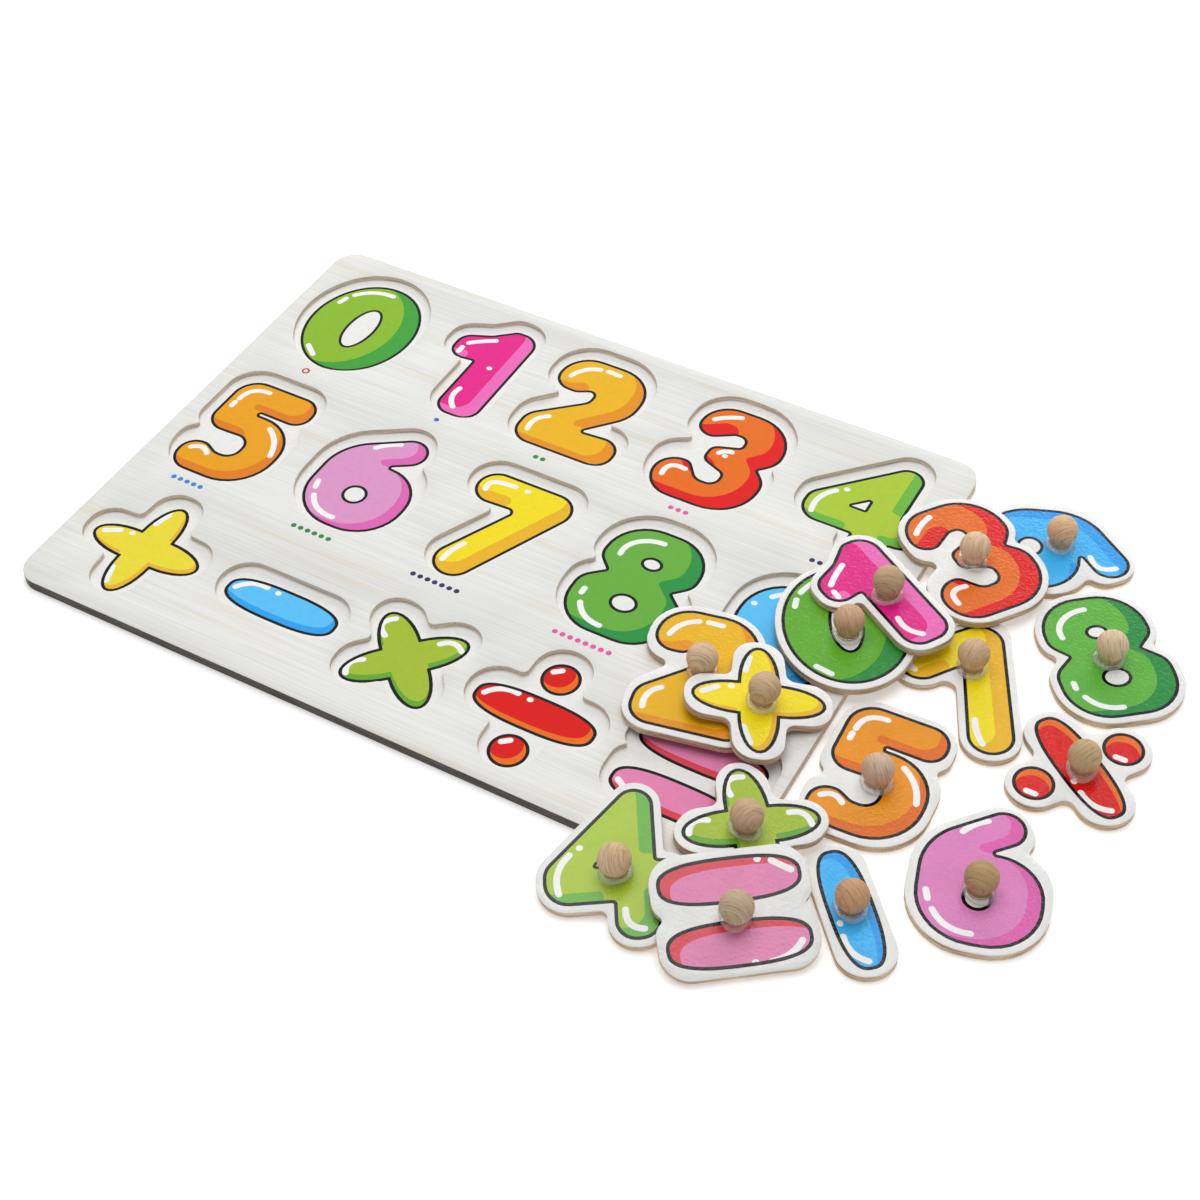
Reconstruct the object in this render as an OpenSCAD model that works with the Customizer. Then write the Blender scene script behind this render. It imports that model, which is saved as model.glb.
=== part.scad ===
// Number peg puzzle: a two-layer board with fifteen shaped recesses, and fifteen loose
// plates, the figures 0 to 9 and the five arithmetic signs, each with a turned wooden
// knob glued into it. The plates lie in a loose pile over the board's front right corner.
// The origin is the middle of the board's underside, X runs along the rows of figures,
// Y runs to the back and Z is up.

/* [Board] */
// Length of the board along the rows
board_l = 300; // [296:1:330]
// Depth of the board from front to back
board_d = 225; // [222:1:250]
// Radius of the board's four corners
corner_r = 10; // [3:0.5:16]
// Thickness of the top sheet, which is the depth of the recesses
sheet_t = 2.4; // [1.6:0.1:4]
// Thickness of the backing sheet under the recesses
back_t = 2; // [1.2:0.1:4]
// Wood left between the recesses and the board's left edge
left_margin = 6.5; // [4:0.1:9]
// Wood left between the recesses and the board's right edge
right_margin = 4.1; // [3:0.1:9]
// Wood left between the recesses and the board's back edge
back_margin = 6.1; // [4:0.1:9]
// Wood left between the recesses and the board's front edge
front_margin = 7.7; // [4:0.1:9]

/* [Plates] */
// Thickness of a loose plate
plate_t = 3.2; // [2.6:0.1:4]
// Bare border round the figure on a plate
border = 2.4; // [1.6:0.1:2.8]
// Gap between a plate's border and the wall of its recess
fit_gap = 1.1; // [0.6:0.1:1.3]
// Size of the figure on a plate against the one printed in its recess
figure_scale = 0.975; // [0.94:0.005:0.985]

/* [Knobs] */
// Diameter of the round head of a knob
head_d = 11.5; // [10:0.5:13]
// Height of a knob above its plate
knob_h = 13; // [12:0.5:18]
// Diameter of the neck just under the head
neck_d = 7; // [6:0.5:8]
// Diameter of the foot that stands on the plate
foot_d = 8.4; // [7:0.2:9]
// Diameter of the tenon that is glued into the plate
tenon_d = 5; // [4:0.5:6]
// Wood left under the tenon's bore
bore_floor = 1; // [0.6:0.1:1.4]
// Diameter of the ring of clear glue round the foot
glue_d = 12; // [10:0.5:12.5]
// Height of the ring of glue at the foot
glue_h = 1.2; // [0.6:0.1:1.8]

/* [Pile] */
// Room left between a plate and what it lies on
lay_gap = 0.2; // [0.1:0.05:0.4]
// Way down of the plus sign, which leans off the figure 2, from the X axis
plus_way = 20; // [10:1:30]
// Way down of the equals sign, which leans off the times sign, from the X axis
equals_way = -53; // [-60:1:-48]

/* [Hidden] */
board_t = sheet_t + back_t;
right_x = board_l / 2;
front_y = -board_d / 2;
recess_grow = border + fit_gap;
tenon_l = plate_t - bore_floor;

// Angle of one facet on a rounded corner, and of one on the oval
arc_step = 10;
oval_step = 6;
// Least radius that is left where a growing outline closes an inward corner
least_r = 0.1;
// Round solids
$fn = 48;

// Half width and half height of the figure 0
zero_half = [24, 29];

// Outlines of the figures, clockwise: X, Y and the radius of each corner. Inward corners
// are wide enough for a plate's border and its recess to follow them.
one_corners = [
    [9.6, 29.4, 8.5], [9.6, -28.9, 7.5], [-9.9, -28.9, 7.5], [-9.9, 4.3, 5],
    [-22.9, 2.6, 6.4], [-22.9, 17.2, 7], [-11, 22.3, 8], [-2.5, 29.4, 4]];
two_corners = [
    [-21.3, 29.4, 13], [18.9, 29.4, 17], [18.9, 3.5, 16], [5.2, -11.6, 4.3], [23.6, -10.6, 7.2],
    [23.6, -28.5, 8], [-21, -28.5, 9.5], [-21, -11.5, 10], [-6.5, 3.4, 4.9], [-21.3, 7.3, 8.4]];
three_corners = [
    [-16.2, 29.4, 12.5], [23.1, 29.4, 19], [23.1, 6.5, 8], [17.4, 0.4, 5], [23, -5.5, 8],
    [23, -28.9, 18], [-20.6, -28.9, 14], [-20.6, -6, 8.5], [-5.5, 2.2, 5], [-16.2, 8.8, 6.5]];
four_corners = [
    [5.4, 31.6, 6.8], [12.9, 25.5, 7], [12.9, 1.5, 4.2], [20.5, 0.5, 4], [20.5, -13.8, 2.6],
    [13.6, -14.2, 4.2], [13.9, -28.5, 7.5], [-2.3, -28.5, 7.5], [-2.3, -14.3, 5],
    [-25.8, -14.3, 9], [-25.8, 0, 8]];
five_corners = [
    [-20.5, 28.9, 10.5], [17.7, 28.9, 9], [17.7, 14.5, 4], [13.5, 9.5, 4.8], [19.4, 2, 12],
    [19.4, -28.9, 18], [-20.4, -28.9, 12], [-20.4, -12.5, 4.5], [-14, -7.3, 5], [-20.5, -1.5, 5]];
six_corners = [
    [-23, 12.5, 22], [7.2, 31.7, 7.6], [13.8, 18.5, 4.5], [9.8, 12.2, 5], [20.8, 4.5, 14],
    [20.8, -28.3, 19], [-23, -28.3, 20]];
seven_corners = [
    [-22.8, 29, 8.7], [20.6, 29, 8], [20.6, 20.3, 3], [-3.9, -32.1, 8.6],
    [-19.7, -24.5, 8.6], [-1.5, 12.4, 6.5], [-22.8, 11.2, 8.5]];
eight_corners = [
    [-19.3, 30.3, 17], [21, 30.3, 17], [21, 8.5, 7], [14.9, 2.4, 5], [22.8, -4.5, 9],
    [22.8, -28.5, 16.5], [-21, -28.5, 16.5], [-21, -4.5, 9], [-13.2, 2.4, 5], [-19.3, 8.5, 7]];
nine_corners = [for (c = six_corners) [-c.x, -c.y, c[2]]];

// One arm of the plus and of the times sign, and the right hand side of the other signs
plus_arm = [[-7.9, 7.9, 6], [-6.6, 24.5, 6.2], [6.6, 24.5, 6.2]];
times_arm = [[0, 10.6, 6], [10.5, 19, 8], [18.9, 18.8, 5.5], [19, 8.5, 8]];
minus_side = [[24.4, 8.2, 7.9], [24.4, -8.2, 7.9]];
divide_side = [
    [7.7, 25.9, 7.4], [7.7, 8.2, 6], [24.4, 8.2, 7.9], [24.4, -8.2, 7.9], [7.7, -8.2, 6],
    [7.7, -25.9, 7.4]];
equals_side = [
    [24.4, 19.2, 7.9], [24.4, 4.2, 3.6], [19.5, 0, 4], [24.4, -4.2, 3.6], [24.4, -19.2, 7.9]];
plus_corners = four_arms(plus_arm);
minus_corners = both_sides(minus_side);
times_corners = four_arms(times_arm);
divide_corners = both_sides(divide_side);
equals_corners = both_sides(equals_side);

// The pieces: name, colour, outline, middle of the recess, place of the knob on the plate,
// place in the pile from the board's front right corner, and turn in the pile
FIGURES = [
    ["zero", "yellowgreen", [], [-116, 73.5], [0, -4], [-12.2, 121.6], 32],
    ["one", "deeppink", one_corners, [-53, 73.5], [-2, -1], [-4.2, 141.7], 58.4],
    ["two", "gold", two_corners, [-6, 73.5], [0.5, 1], [-48.2, 75.9], 11.5],
    ["three", "orangered", three_corners, [54, 73.5], [1, -1.5], [13.5, 174], 53.8],
    ["four", "yellowgreen", four_corners, [119.5, 73.5], [-1, -2], [-33.9, -9.2], 31.2],
    ["five", "orange", five_corners, [-119, -3.5], [-0.5, -3.5], [25.8, 67.8], 2.6],
    ["six", "orchid", six_corners, [-60, -3.5], [-1, -5.5], [72.3, 45.1], 16],
    ["seven", "yellow", seven_corners, [0, -3.5], [1.5, 10.5], [41.4, 120.3], 51.2],
    ["eight", "limegreen", eight_corners, [58, -3.5], [1, -1], [74.4, 155.3], 38.8],
    ["nine", "deepskyblue", nine_corners, [118, -3.5], [4, -2.5], [39, 197.1], 111.8],
    ["plus", "gold", plus_corners, [-115, -75.4], [0.8, -0.6], [-23.7, 72.1], 26],
    ["minus", "deepskyblue", minus_corners, [-52, -75.4], [0, 0], [39.2, 13.1], 131.6],
    ["times", "yellowgreen", times_corners, [2.7, -75.4], [-1.2, -2.1], [-2.5, 24.4], -6.3],
    ["divide", "red", divide_corners, [57.2, -75.4], [-1.2, -0.2], [83.5, 103.5], 142.5],
    ["equals", "hotpink", equals_corners, [118, -74.5], [0, 1], [7.7, -8.6], -143]];

PIECE_PARTS = ["plate", "knob", "glue"];

// Corners on the right hand side, with the same ones mirrored on the left hand side
function both_sides(right) = concat(
    right,
    [for (i = [len(right) - 1:-1:0]) [-right[i].x, right[i].y, right[i][2]]]);

// Corners of one arm, turned clockwise to all four sides
function four_arms(arm) = [for (q = [0:3], c = arm)
    [c.x * cos(90 * q) + c.y * sin(90 * q), c.y * cos(90 * q) - c.x * sin(90 * q), c[2]]];

// Points of one rounded corner at b, between its neighbours a and c, moved out by grow
function rounded_corner(a, b, c, r, grow) =
    let (along = (b - a) / norm(b - a),
         away = (c - b) / norm(c - b),
         bend = atan2(along.x * away.y - along.y * away.x, along * away),
         side = sign(bend),
         inward = side * [-along.y, along.x],
         centre = b - along * r * tan(abs(bend) / 2) + inward * r,
         reach = max(r - side * grow, least_r),
         first = atan2(-inward.y, -inward.x),
         steps = ceil(abs(bend) / arc_step))
    [for (k = [0:steps])
        centre + reach * [cos(first + bend * k / steps), sin(first + bend * k / steps)]];

function flat(corner, size) = size * [corner.x, corner.y];

// Closed outline through rounded corners, at a size and moved out by grow
function rounded_outline(corners, size, grow) =
    let (n = len(corners))
    [for (i = [0:n - 1]) each rounded_corner(
        flat(corners[(i + n - 1) % n], size), flat(corners[i], size),
        flat(corners[(i + 1) % n], size), size * corners[i][2], grow)];

// Outline of the oval figure 0, moved out square to the curve
function oval_outline(half, grow) =
    [for (t = [0:oval_step:359])
        let (square = [cos(t) / half.x, sin(t) / half.y])
        [half.x * cos(t), half.y * sin(t)] + grow * square / norm(square)];

function outline(figure, size, grow) = figure[0] == "zero"
    ? oval_outline(size * zero_half, grow)
    : rounded_outline(figure[2], size, grow);

// The drawn recesses spread over the board inside its margins. The figures keep their shape,
// with their borders and gaps, and take the size of the tighter direction.
drawn = [for (figure = FIGURES, p = outline(figure, 1, recess_grow)) figure[3] + p];
drawn_low = [min([for (p = drawn) p.x]), min([for (p = drawn) p.y])];
drawn_high = [max([for (p = drawn) p.x]), max([for (p = drawn) p.y])];
spread = [
    (board_l - left_margin - right_margin) / (drawn_high.x - drawn_low.x),
    (board_d - back_margin - front_margin) / (drawn_high.y - drawn_low.y)];
figure_size = min(spread);

// Middle of a recess on the board
function recess_spot(figure) = [
    left_margin - right_x + (figure[3].x - drawn_low.x) * spread.x,
    front_margin + front_y + (figure[3].y - drawn_low.y) * spread.y];

function recess_outline(figure) = figure_size * outline(figure, 1, recess_grow);
function plate_outline(figure) = figure_size * outline(figure, figure_scale, border);

// A piece by its name, and the middle of its place in the pile
function piece(name) = FIGURES[search([name], FIGURES)[0]];
function spot(name) = [right_x, front_y] + figure_size * piece(name)[5];

// Place of the knob on the plate
function knob_spot(figure) = figure_size * figure[4];

// A point of the plate in plan, turned as the piece lies
function turned(p, turn) = [p.x * cos(turn) - p.y * sin(turn), p.x * sin(turn) + p.y * cos(turn)];

// The plate's outline as it lies, measured from the middle of the piece
function lying(name) = [for (p = plate_outline(piece(name))) turned(p, piece(name)[6])];

function way(azimuth) = [cos(azimuth), sin(azimuth)];

// Heights of the flat pieces: on the board, on the 7 and on the 0
on_board = board_t + lay_gap;
over_edge = max(board_t, plate_t) + lay_gap;
on_zero = over_edge + plate_t + lay_gap;

// The 3 and the times sign tip over the board's right edge onto the plates on the table
edge_drop = max(board_t - plate_t, 0);
function out_reach(name) = max([for (p = lying(name)) p.x]) + spot(name).x - right_x;
function edge_lean(name) = atan(edge_drop / out_reach(name));
function edge_rest(name) =
    [over_edge - (spot(name).x - right_x) * tan(edge_lean(name)), edge_lean(name), 0];

// The plus sign leans from the rim of the 2 down to the board
plus_reach = max([for (p = lying("plus")) p * way(plus_way)]);
plus_span = max([for (p = lying("plus")) norm(p)]);
two_grip = max([for (p = lying("two"))
    let (q = p + spot("two") - spot("plus"))
    if (norm(q) < plus_span) q * way(plus_way)]);
plus_lean = atan((plate_t + lay_gap) / (plus_reach - two_grip));
plus_rest = [on_board + plus_reach * sin(plus_lean), plus_lean, plus_way];

// The 4 leans from the table against the board's front edge
four_low = -min([for (p = lying("four")) p.y]);
four_back = front_y - spot("four").y;
four_first = atan(on_board / (four_low + four_back));
four_lean = atan(on_board / (four_low * cos(four_first) + four_back));
four_rest = [four_low * sin(four_lean), four_lean, -90];

// The equals sign leans from the table over the times sign and the 4
equals_low = max([for (p = lying("equals")) p * way(equals_way)]);
equals_half = [
    max([for (p = plate_outline(piece("equals"))) p.x]),
    max([for (p = plate_outline(piece("equals"))) p.y])];
under_equals = [for (name = ["times", "four"], p = plate_outline(piece(name)))
    let (q = on_plate(name, [p.x, p.y, plate_t]),
         from_middle = [q.x, q.y] - spot("equals"),
         p_there = turned(from_middle, -piece("equals")[6]))
    if (abs(p_there.x) < equals_half.x && abs(p_there.y) < equals_half.y)
        [from_middle * way(equals_way), q.z + lay_gap]];
equals_first = atan(max([for (u = under_equals) u[1] / (equals_low - u[0])]));
equals_lean = atan(max([for (u = under_equals)
    u[1] / (equals_low * cos(equals_first) - u[0])]));
equals_rest = [equals_low * sin(equals_lean), equals_lean, equals_way];

// How a piece rests: height of the underside at its middle, lean, and its way down
function rest(name) =
    name == "zero" ? [over_edge, 0, 0] :
    name == "one" ? [on_zero, 0, 0] :
    name == "two" ? [on_board, 0, 0] :
    name == "three" || name == "times" ? edge_rest(name) :
    name == "plus" ? plus_rest :
    name == "four" ? four_rest :
    name == "equals" ? equals_rest :
    [0, 0, 0];

// Place in the pile of a point on a plate, given in the plate's own axes
function on_plate(name, p) =
    let (lies = rest(name),
         down = way(lies[2]),
         level = turned(p, piece(name)[6]),
         along = level * down,
         across = level * [-down.y, down.x],
         place = spot(name) + down * (along * cos(lies[1]) + p.z * sin(lies[1]))
             + [-down.y, down.x] * across)
    [place.x, place.y, lies[0] + p.z * cos(lies[1]) - along * sin(lies[1])];

// Puts a piece, modelled on its own axes, where it lies in the pile
module in_pile(figure) {
    lies = rest(figure[0]);
    down = way(lies[2]);
    translate([spot(figure[0]).x, spot(figure[0]).y, lies[0]])
        rotate(a = lies[1], v = [-down.y, down.x, 0])
        rotate([0, 0, figure[6]])
        children();
}

module rounded_rectangle(size, r) {
    corners = both_sides([[size.x / 2, size.y / 2, r], [size.x / 2, -size.y / 2, r]]);
    polygon(rounded_outline(corners, 1, 0));
}

// Top sheet of the board, cut right through along every recess
module board_frame() {
    color("whitesmoke")
    translate([0, 0, back_t])
    linear_extrude(sheet_t)
    difference() {
        rounded_rectangle([board_l, board_d], corner_r);
        for (figure = FIGURES)
            translate(recess_spot(figure))
            polygon(recess_outline(figure));
    }
}

// Backing sheet, which is the floor of every recess
module board_back() {
    color("white")
    linear_extrude(back_t)
    rounded_rectangle([board_l, board_d], corner_r);
}

// Plate of one figure, with a blind bore for the knob's tenon
module plate(figure) {
    color(figure[1])
    in_pile(figure)
    difference() {
        linear_extrude(plate_t)
            polygon(plate_outline(figure));
        translate([knob_spot(figure).x, knob_spot(figure).y, bore_floor])
            cylinder(h = plate_t, d = tenon_d);
    }
}

// Turned knob standing on the plate's top: round head, waisted neck and tenon
module knob_shape() {
    head_z = knob_h - head_d / 2;
    translate([0, 0, head_z])
        sphere(d = head_d);
    cylinder(h = head_z, d1 = foot_d, d2 = neck_d);
    translate([0, 0, -tenon_l])
        cylinder(h = tenon_l, d = tenon_d);
}

module knob(figure) {
    color("burlywood")
    in_pile(figure)
    translate([knob_spot(figure).x, knob_spot(figure).y, plate_t])
    knob_shape();
}

// Ring of clear glue that has run out round the foot of the knob
module glue(figure) {
    color("azure")
    in_pile(figure)
    translate([knob_spot(figure).x, knob_spot(figure).y, plate_t])
    difference() {
        cylinder(h = glue_h, d1 = glue_d, d2 = foot_d);
        knob_shape();
    }
}

board_frame();
board_back();
for (figure = FIGURES) {
    plate(figure);
    knob(figure);
    glue(figure);
}
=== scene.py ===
from itertools import chain
from math import pi, radians

import bmesh
import bpy
import numpy as np
from mathutils import Matrix, Quaternion, Vector
from mathutils.geometry import delaunay_2d_cdt


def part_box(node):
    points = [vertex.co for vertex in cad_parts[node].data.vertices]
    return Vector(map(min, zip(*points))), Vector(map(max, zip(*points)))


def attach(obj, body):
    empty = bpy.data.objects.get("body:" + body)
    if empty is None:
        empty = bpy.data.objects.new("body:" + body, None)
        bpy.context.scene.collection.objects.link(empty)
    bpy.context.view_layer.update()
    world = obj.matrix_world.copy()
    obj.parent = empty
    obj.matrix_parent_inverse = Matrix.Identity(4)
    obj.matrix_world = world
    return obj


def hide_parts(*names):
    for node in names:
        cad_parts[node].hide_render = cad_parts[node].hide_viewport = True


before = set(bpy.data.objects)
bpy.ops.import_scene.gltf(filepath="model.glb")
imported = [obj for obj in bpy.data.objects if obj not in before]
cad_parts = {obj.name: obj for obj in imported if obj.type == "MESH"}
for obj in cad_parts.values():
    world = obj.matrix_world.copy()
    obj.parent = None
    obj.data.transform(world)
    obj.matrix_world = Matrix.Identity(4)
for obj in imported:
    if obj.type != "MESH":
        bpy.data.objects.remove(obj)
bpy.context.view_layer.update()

# ---------------------------------------------------------------- backing sheet
# Thin white board glued under the top sheet. Its face is the floor of the recesses and carries
# the printed figures and signs. Smooth matt paper on plywood, sawn flush with the top sheet.


def linear(r, g, b):
    """Display colour 0-255 to linear light: ((s + 0.055) / 1.055) ** 2.4 above the toe."""
    s = np.array([r, g, b]) / 255
    return (*np.where(s > 0.04045, ((s + 0.055) / 1.055) ** 2.4, s / 12.92), 1.0)


def corner_outline(corners, inset, steps=10, least_r=0.05):
    """Closed outline through clockwise corners (x, y, r): each arc's centre lies at
    b - u r tan(bend / 2) + side r, and its radius is r - inset on an outward corner."""
    c = np.array(corners, float)
    b, r = c[:, :2], c[:, 2]
    u = b - np.roll(b, 1, 0)
    u /= np.linalg.norm(u, axis=1, keepdims=True)
    w = np.roll(u, -1, 0)
    bend = np.arctan2(u[:, 0] * w[:, 1] - u[:, 1] * w[:, 0], (u * w).sum(1))
    side = np.sign(bend)
    inward = side[:, None] * np.stack([-u[:, 1], u[:, 0]], 1)
    centre = b - u * (r * np.tan(abs(bend) / 2))[:, None] + inward * r[:, None]
    reach = np.maximum(r + side * inset, least_r)
    t = np.arctan2(-inward[:, 1], -inward[:, 0])[:, None] + bend[:, None] * np.linspace(0, 1, steps)
    points = centre[:, None] + reach[:, None, None] * np.stack([np.cos(t), np.sin(t)], -1)
    return points.reshape(-1, 2)


def oval_outline(x, y, half_x, half_y, power, inset):
    """Superellipse: x + a sign(cos t) |cos t| ** (2 / power), and y with the sine."""
    t = np.linspace(0, -2 * pi, 80, endpoint=False)
    c, s = np.cos(t), np.sin(t)
    return np.stack([x + (half_x - inset) * np.sign(c) * abs(c) ** (2 / power),
                     y + (half_y - inset) * np.sign(s) * abs(s) ** (2 / power)], 1)


def arms_outline(half_w, start, length, first, inset):
    """Four half ellipses (w cos t, start + length sin t), a quarter turn apart."""
    t = np.linspace(pi, 0, 16)
    arm = np.stack([(half_w - inset) * np.cos(t), start - inset + length * np.sin(t)], 1)
    turn = (first - 90 * np.arange(4)) * pi / 180
    spin = np.array([[np.cos(turn), np.sin(turn)], [-np.sin(turn), np.cos(turn)]])
    return np.einsum("pi,ijq->qpj", arm, spin).reshape(-1, 2)


def shape_outline(shape, inset=0.0):
    """Outline of an art shape in mm, drawn in by inset."""
    kind, values = shape[0], shape[1:]
    if kind == "oval":
        return oval_outline(*values, inset)
    if kind == "arms":
        return arms_outline(*values, inset)
    return corner_outline(values, inset)


def stroke_outline(points, half_w=1.15, dot=(1.25, 1.1)):
    """Round-ended stroke along the polynomial through up to four points; one point is a dot."""
    p = np.array(points, float)
    if len(p) == 1:
        return oval_outline(*p[0], *dot, 2, 0)
    at = np.r_[0, np.cumsum(np.linalg.norm(np.diff(p, axis=0), axis=1))]
    t = np.linspace(0, at[-1], 14)
    line = np.stack([np.polyval(np.polyfit(at, p[:, k], len(p) - 1), t) for k in (0, 1)], 1)
    run = np.gradient(line, axis=0)
    heading = np.arctan2(run[:, 1], run[:, 0])
    cap = np.linspace(pi / 2, -pi / 2, 9)
    left = heading + pi / 2
    angles = np.r_[left, heading[-1] + cap, left[::-1] + pi, heading[0] + pi + cap]
    first, last = np.repeat(line[[0, -1]], len(cap), 0).reshape(2, len(cap), 2)
    spine = np.r_[line, last, line[::-1], first]
    return spine + half_w * np.stack([np.cos(angles), np.sin(angles)], 1)


SIX = ((-22.5, 12.5, 22), (7.16, 31.75, 7.6), (15.55, 18.84, 7.6), (2, 10.3, 0.4),
       (20.8, 10, 17), (20.8, -28.3, 19), (-22.5, -28.3, 20))
BAR_SHINE = [[(-21, 0.4), (-17, 4.4), (-10, 5.7)], [(-4.8, 5.2)]]
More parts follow.
